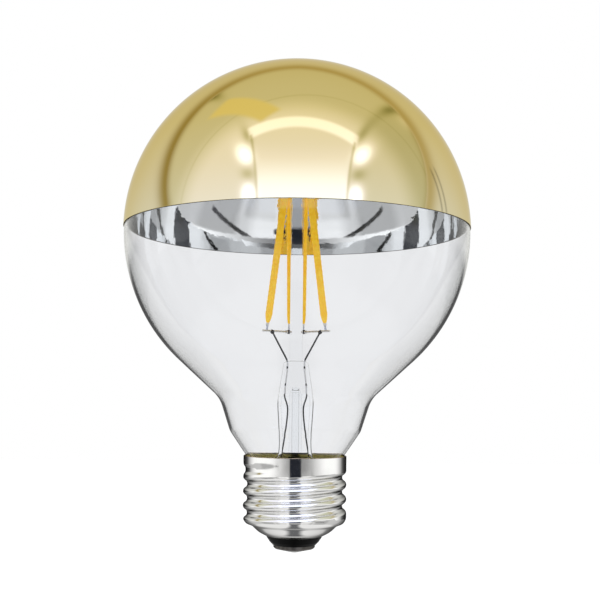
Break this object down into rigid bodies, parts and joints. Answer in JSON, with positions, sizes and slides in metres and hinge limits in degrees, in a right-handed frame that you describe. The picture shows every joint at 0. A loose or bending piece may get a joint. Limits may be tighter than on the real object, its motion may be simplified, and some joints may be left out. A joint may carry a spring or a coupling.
{
  "type": "led globe bulb",
  "caption": "Globe filament lamp: clear glass with a gold mirrored crown, LED filaments on a glass stem, screw cap with centre contact.",
  "frame": {"origin": "tip of the centre contact, on the lamp's axis", "axes": "+Z along the axis from the cap to the crown; -Y is the side the picture shows, with the two outer filaments in front"},
  "size_m": [0.09, 0.09, 0.1266],
  "materials": {
    "clear_glass": "clear blown glass, smooth",
    "gold_film": "gold-toned reflective film, glossy",
    "silver_film": "silvered, mirror bright",
    "nickel_plate": "bright nickel plate on rolled brass sheet",
    "black_insulator": "black, glossy",
    "contact_metal": "nickel-plated brass, bright",
    "cement": "olive-gold basing cement, matt",
    "white_plastic": "white, matt",
    "board_laminate": "green solder mask",
    "capacitor_can": "black sleeved aluminium can",
    "resistor_body": "pale blue cement coat",
    "chip_body": "black moulded case",
    "nickel_wire": "nickel-iron wire",
    "lead_wire": "oxidised nickel-iron wire, dark",
    "phosphor_jacket": "amber silicone with phosphor",
    "white_ceramic": "white ceramic strip"
  },
  "bodies": {
    "root": {"glass_envelope": "clear_glass", "glass_stem": "clear_glass", "exhaust_tube": "clear_glass", "centre_rod": "clear_glass", "gold_coat": "gold_film", "silver_mirror": "silver_film", "cap_shell": "nickel_plate", "cap_insulator": "black_insulator", "centre_contact": "contact_metal", "basing_cement": "cement", "insulating_sleeve": "white_plastic", "driver_board": "board_laminate", "smoothing_capacitor": "capacitor_can", "fusible_resistor": "resistor_body", "bridge_rectifier": "chip_body", "current_controller": "chip_body", "phase_link": "nickel_wire", "neutral_link": "nickel_wire", "cross_bar_left": "nickel_wire", "inner_lead_left": "lead_wire", "outer_lead_left": "lead_wire", "cross_bar_right": "nickel_wire", "inner_lead_right": "lead_wire", "outer_lead_right": "lead_wire", "top_wire_front": "nickel_wire", "filament_front_left": "phosphor_jacket", "carrier_front_left": "white_ceramic", "pin_front_left_foot": "nickel_wire", "pin_front_left_top": "nickel_wire", "filament_front_right": "phosphor_jacket", "carrier_front_right": "white_ceramic", "pin_front_right_foot": "nickel_wire", "pin_front_right_top": "nickel_wire", "top_wire_back": "nickel_wire", "filament_back_left": "phosphor_jacket", "carrier_back_left": "white_ceramic", "pin_back_left_foot": "nickel_wire", "pin_back_left_top": "nickel_wire", "filament_back_right": "phosphor_jacket", "carrier_back_right": "white_ceramic", "pin_back_right_foot": "nickel_wire", "pin_back_right_top": "nickel_wire"}
  },
  "joints": []
}
